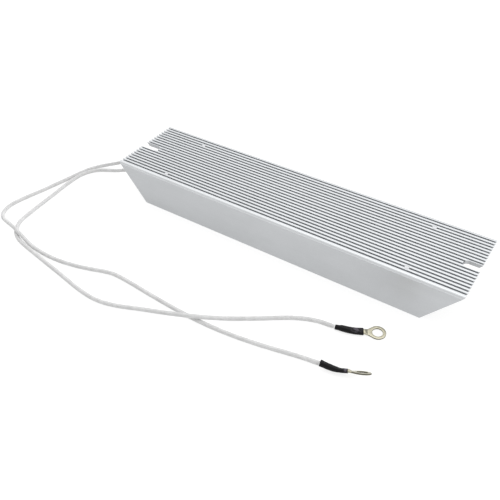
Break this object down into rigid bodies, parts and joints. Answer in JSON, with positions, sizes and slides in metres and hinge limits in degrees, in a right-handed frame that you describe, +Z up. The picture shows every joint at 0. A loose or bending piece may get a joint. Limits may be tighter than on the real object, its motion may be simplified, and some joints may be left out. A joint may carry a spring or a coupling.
{
  "type": "aluminium housed power resistor",
  "caption": "Flat wirewound power resistor: ribbed aluminium extrusion with slanted, slotted ends, and two braided flying leads with heat-shrink sleeves and ring lugs.",
  "frame": {"origin": "centre of the housing's footprint, on the surface that the short wide face lies on", "axes": "+X along the housing, away from the lead end; +Y across it, from the front wall to the rear wall; +Z up, out of the long ribbed face with the mounting slots"},
  "size_m": [0.3289, 0.1594, 0.03],
  "materials": {
    "housing": "extruded aluminium with a fine blasted satin surface",
    "mica": "mica sheet",
    "filler": "packed mineral powder",
    "former": "unglazed alumina",
    "winding": "drawn nickel-chrome wire",
    "cap": "pressed stainless steel",
    "conductor": "stranded copper",
    "ferrule": "plain brass",
    "end_block": "unglazed steatite",
    "seal": "cured silicone",
    "pin": "plain aluminium",
    "bush": "white steatite",
    "braid": "woven glass-fibre braid",
    "sleeve": "heat-shrunk polyolefin",
    "lug": "tin plate over copper"
  },
  "bodies": {
    "root": {"housing": "housing", "mica_liner": "mica", "filler": "filler", "former_front": "former", "former_rear": "former", "winding_front": "winding", "winding_rear": "winding", "cap_front_left": "cap", "cap_front_right": "cap", "cap_rear_left": "cap", "cap_rear_right": "cap", "series_link": "cap", "conductor_front": "conductor", "conductor_rear": "conductor", "ferrule_front": "ferrule", "ferrule_rear": "ferrule", "end_block_left": "end_block", "end_block_right": "end_block", "seal_left": "seal", "seal_right": "seal", "closure_pins": "pin", "bush_front": "bush", "bush_rear": "bush", "lead_front": "braid", "lead_rear": "braid", "strand_front": "conductor", "strand_rear": "conductor", "sleeve_front": "sleeve", "sleeve_rear": "sleeve", "lug_front": "lug", "lug_rear": "lug"}
  },
  "joints": []
}
